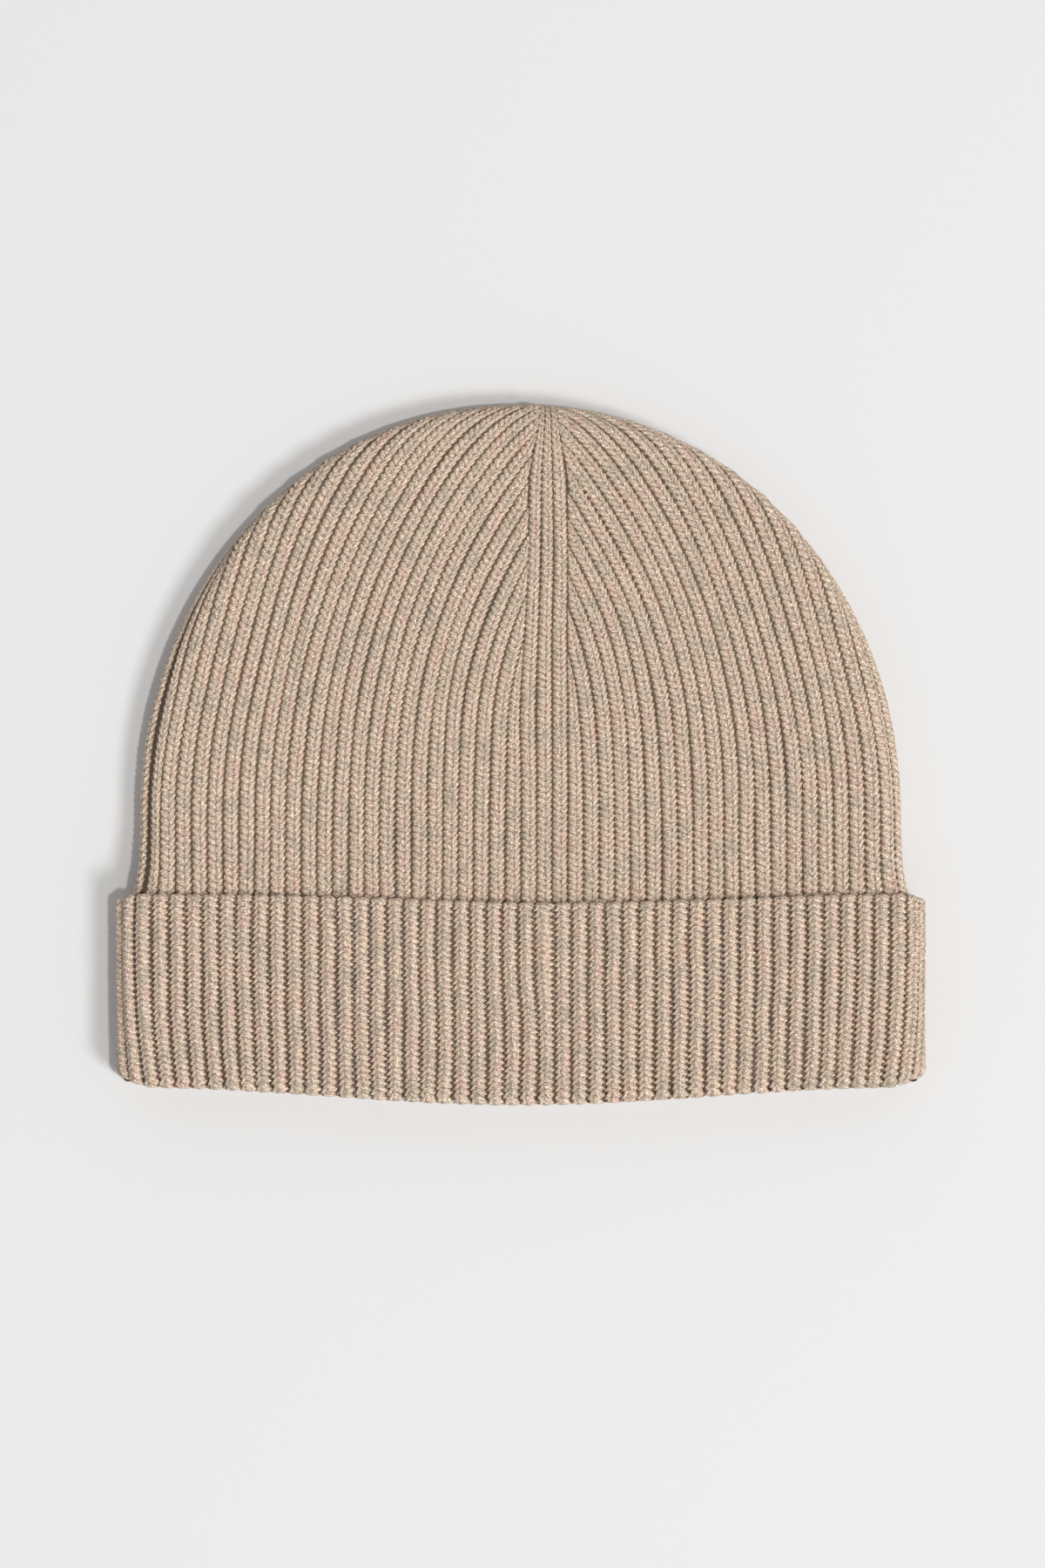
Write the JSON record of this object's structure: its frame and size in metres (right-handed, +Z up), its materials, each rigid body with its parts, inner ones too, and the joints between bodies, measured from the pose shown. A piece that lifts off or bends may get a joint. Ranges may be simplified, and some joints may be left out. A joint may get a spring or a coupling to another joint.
{
  "type": "knit beanie hat",
  "caption": "Cuffed rib-knit beanie lying flat: a knitted tube closed by four crown gores, with a turned-up cuff that turns down.",
  "frame": {"origin": "centre of the bounding box in X and Y, at the surface the hat lies on", "axes": "+Z up out of the table, +Y from the rim to the crown, +X to the right as seen from above"},
  "size_m": [0.2326, 0.202, 0.0208],
  "materials": {
    "rib_knit": "melange wool-blend one by one rib, matt",
    "linking_yarn": "the same yarn, drawn tight and in shadow",
    "label_tape": "plain woven tape"
  },
  "bodies": {
    "hat": {"body_tube": "rib_knit", "crown_gore_back_left": "rib_knit", "crown_gore_back_right": "rib_knit", "crown_gore_front_left": "rib_knit", "crown_gore_front_right": "rib_knit", "back_seam": "linking_yarn", "crown_seam_back": "linking_yarn", "crown_seam_front": "linking_yarn", "crown_seam_left": "linking_yarn", "crown_seam_right": "linking_yarn", "crown_closure": "linking_yarn", "care_label": "label_tape", "care_label_stitches": "label_tape"},
    "cuff": {"cuff": "rib_knit", "cuff_hem": "rib_knit", "cuff_seam": "linking_yarn"}
  },
  "joints": [
    {"name": "cuff_turn_down", "type": "slide", "parent": "hat", "child": "cuff", "axis": [0, -1, 0], "range_m": [0, 0.044]}
  ]
}
